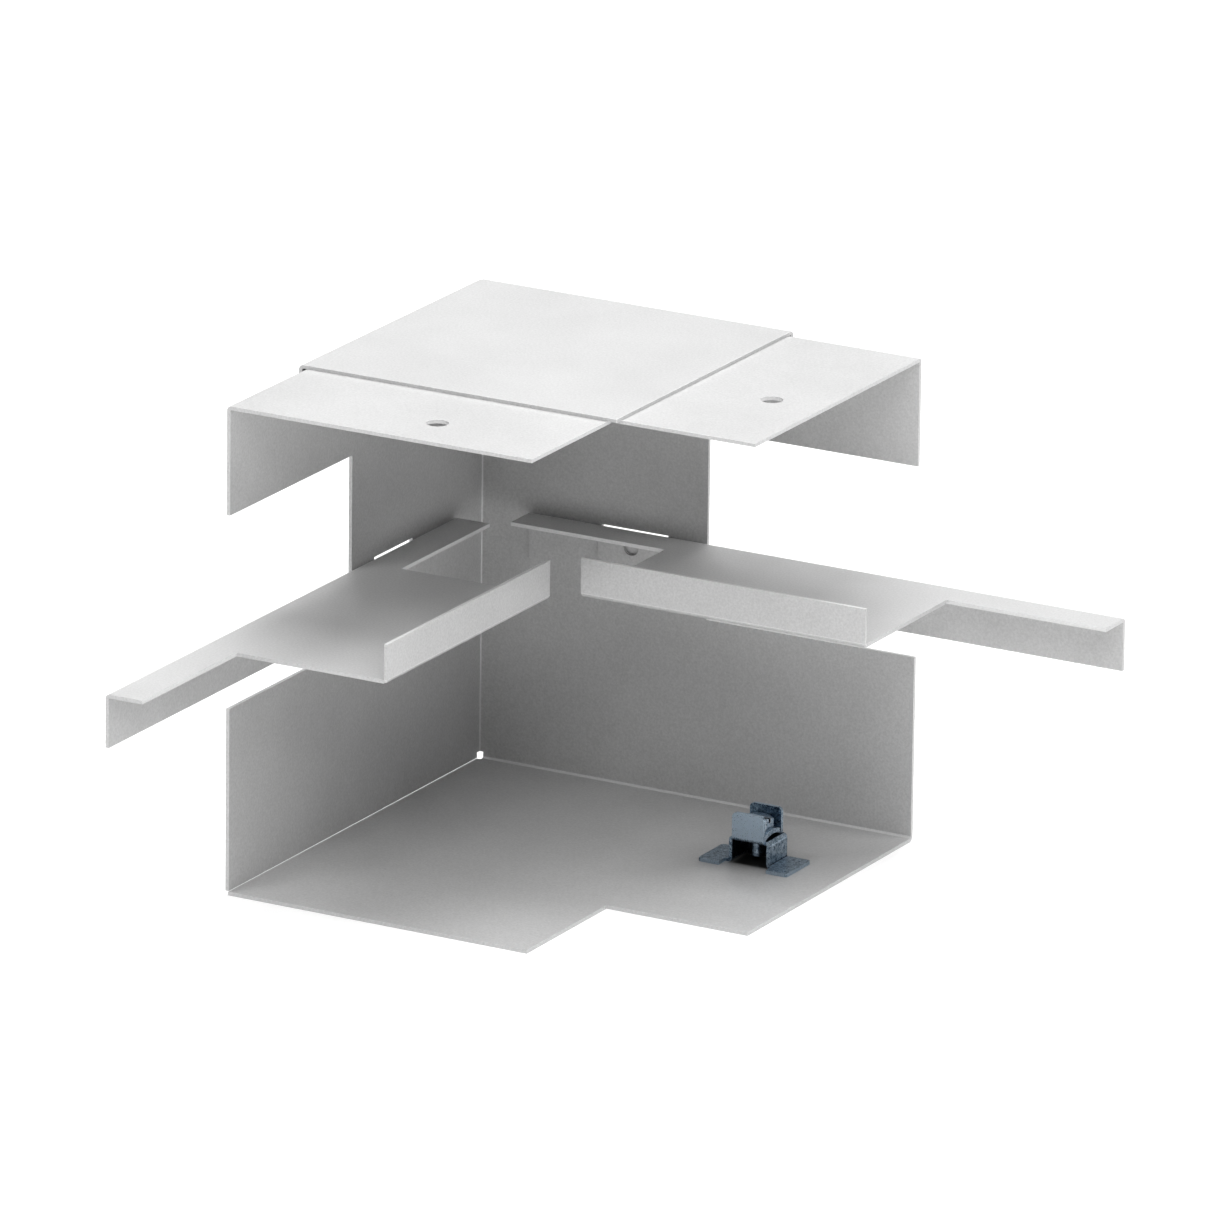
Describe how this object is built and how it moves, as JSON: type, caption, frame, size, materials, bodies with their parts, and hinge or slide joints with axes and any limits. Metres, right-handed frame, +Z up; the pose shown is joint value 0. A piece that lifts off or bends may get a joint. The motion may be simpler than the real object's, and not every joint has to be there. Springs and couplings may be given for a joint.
{
  "type": "trunking internal corner",
  "caption": "White sheet-steel internal corner for 68 x 100 mm two-compartment wall trunking, with two divider shelves, a corner cap and an earth clamp.",
  "frame": {"origin": "outer back corner of the two walls, at the underside of the base", "axes": "+Z up; the right arm runs along +X with its wall on the Y = 0 plane; the left arm runs along -Y with its wall on the X = 0 plane; the open front faces +X and -Y"},
  "size_m": [0.1471, 0.1471, 0.1007],
  "materials": {
    "white_paint": "fine-grained satin powder coat",
    "dark_zinc": "dark blue-grey passivated zinc"
  },
  "bodies": {
    "root": {"body": "white_paint", "cap": "white_paint", "left_shelf": "white_paint", "right_shelf": "white_paint", "clamp_bracket": "dark_zinc", "clamp_saddle": "dark_zinc", "clamp_screw": "dark_zinc"}
  },
  "joints": []
}
